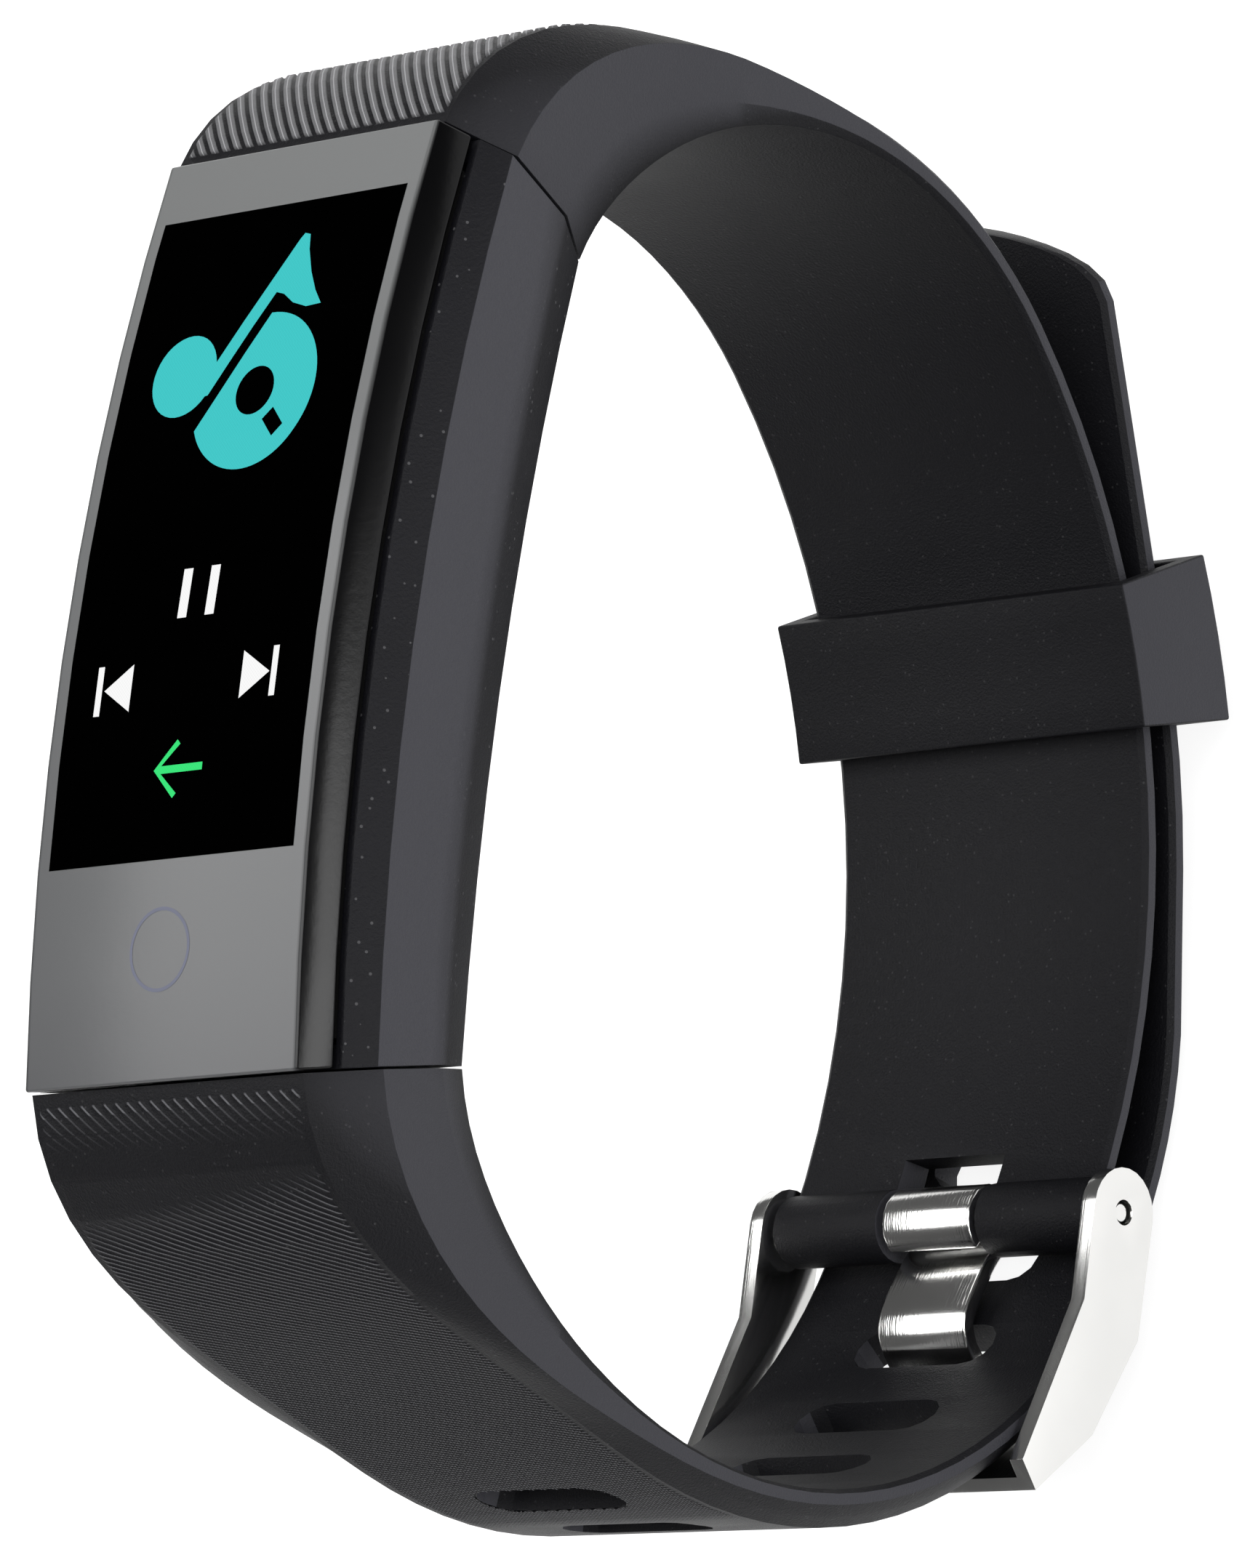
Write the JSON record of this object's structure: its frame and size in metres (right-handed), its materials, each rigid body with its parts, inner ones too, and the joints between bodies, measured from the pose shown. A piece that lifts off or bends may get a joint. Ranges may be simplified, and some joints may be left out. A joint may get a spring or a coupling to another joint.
{
  "type": "fitness tracker band",
  "caption": "Wrist fitness tracker with a bowed rectangular module, two tapering elastomer straps, a metal pin buckle and a sliding keeper, buckled into a loop.",
  "frame": {"origin": "centre of the flat face of the sensor window, which rests on the wrist", "axes": "+Z is the outward normal of the screen, +X runs along the module towards the buckle strap, +Y is the axis of the wrist"},
  "size_m": [0.0659, 0.0218, 0.0582],
  "materials": {
    "lens": "gloss",
    "seal": "matte",
    "clear_adhesive": "clear",
    "display": "gloss",
    "flex_film": "satin",
    "copper_foil": "satin",
    "case": "fine texture",
    "smoked_window": "gloss",
    "led": "gloss",
    "sensor_chip": "gloss",
    "cell_foil": "satin",
    "foam": "matte",
    "board": "satin",
    "chip": "matte",
    "bright_steel": "bright",
    "dense_metal": "satin",
    "gold": "bright",
    "strap": "matte",
    "polished_steel": "polished"
  },
  "bodies": {
    "band": {"front_lens": "lens", "lens_gasket": "seal", "optical_bond": "clear_adhesive", "display_panel": "display", "display_flex": "flex_film", "touch_pad": "copper_foil", "mid_case": "case", "back_cover": "case", "sensor_window": "smoked_window", "sensor_led_near": "led", "sensor_led_far": "led", "photodiode": "sensor_chip", "light_baffle": "seal", "battery": "cell_foil", "battery_foam": "foam", "main_board": "board", "radio_chip": "chip", "motion_chip": "chip", "motor_can": "bright_steel", "motor_base": "bright_steel", "charging_tongue": "case", "charging_contact_1": "gold", "charging_contact_2": "gold", "charging_contact_3": "gold", "charging_contact_4": "gold", "buckle_strap": "strap", "hole_strap": "strap", "spring_bar_tube": "bright_steel", "bar_spring": "bright_steel"},
    "keeper": {"keeper_loop": "strap"},
    "buckle": {"buckle_frame": "polished_steel"},
    "prong": {"buckle_tongue": "polished_steel"},
    "tip_near": {"bar_tip_near": "bright_steel"},
    "tip_far": {"bar_tip_far": "bright_steel"},
    "weight": {"motor_weight": "dense_metal"}
  },
  "joints": [
    {"name": "keeper_travel", "type": "hinge", "parent": "band", "child": "keeper", "pos_m": [-0.00444, 0, -0.00345], "axis": [0, 1, 0], "range_deg": [-1, 8]},
    {"name": "buckle_hinge", "type": "hinge", "parent": "band", "child": "buckle", "pos_m": [-0.0147, 0, -0.04107], "axis": [0, 1, 0], "range_deg": [-1, 1.5]},
    {"name": "prong_hinge", "type": "hinge", "parent": "band", "child": "prong", "pos_m": [-0.0147, 0, -0.04107], "axis": [0, 1, 0], "range_deg": [-1, 1]},
    {"name": "near_tip_slide", "type": "slide", "parent": "band", "child": "tip_near", "axis": [0, 1, 0], "range_m": [0, 0.0009], "stiffness_N_per_m": 300, "springref_m": -0.0005, "deforming": ["bar_spring"]},
    {"name": "far_tip_slide", "type": "slide", "parent": "band", "child": "tip_far", "axis": [0, -1, 0], "range_m": [0, 0.0009], "stiffness_N_per_m": 300, "springref_m": -0.0005, "deforming": ["bar_spring"]},
    {"name": "motor_spin", "type": "hinge", "parent": "band", "child": "weight", "pos_m": [-0.0134, 0.0037, 0.0054], "axis": [0, 0, 1], "continuous": true}
  ]
}
